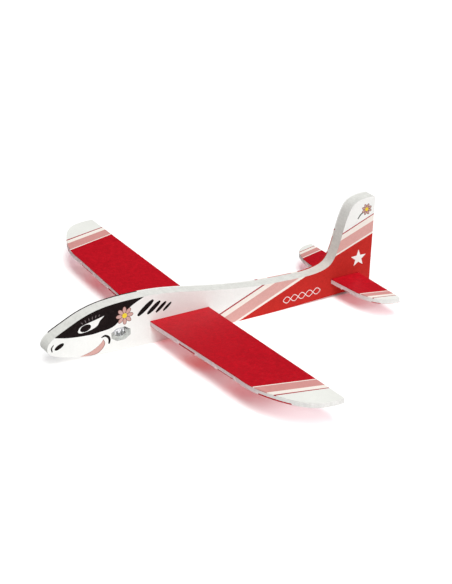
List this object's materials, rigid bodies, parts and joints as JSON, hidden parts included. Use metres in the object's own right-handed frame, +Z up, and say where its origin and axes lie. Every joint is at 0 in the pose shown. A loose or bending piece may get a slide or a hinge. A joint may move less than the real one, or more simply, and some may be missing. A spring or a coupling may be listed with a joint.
{
  "type": "toy glider",
  "caption": "Hand-launched toy glider cut from printed foam sheet, with a wing and a tailplane that push through slots in the fuselage board and a weighted nose.",
  "frame": {"origin": "under the middle of the model, on the surface that the belly rests on", "axes": "+X towards the nose, +Y towards the port wing tip, +Z up"},
  "size_m": [0.212, 0.2796, 0.0581],
  "materials": {
    "foam": "matte",
    "body_print": "satin",
    "panel_print": "satin",
    "ballast_metal": "polished",
    "clear_cover": "gloss"
  },
  "bodies": {
    "fuselage": {"fuselage_core": "foam", "fuselage_print_port": "body_print", "fuselage_print_starboard": "body_print", "nose_ballast": "ballast_metal", "ballast_cover_port": "clear_cover", "ballast_cover_starboard": "clear_cover"},
    "wing": {"wing_core": "foam", "wing_print_top": "panel_print", "wing_print_bottom": "panel_print"},
    "tailplane": {"tailplane_core": "foam", "tailplane_print_top": "panel_print", "tailplane_print_bottom": "panel_print"}
  },
  "joints": [
    {"name": "wing_slide", "type": "slide", "parent": "fuselage", "child": "wing", "axis": [0, 0.9998, -0.0216], "range_m": [0, 0.15]},
    {"name": "tailplane_slide", "type": "slide", "parent": "fuselage", "child": "tailplane", "axis": [0, 1, 0], "range_m": [-0.055, 0.055]}
  ]
}
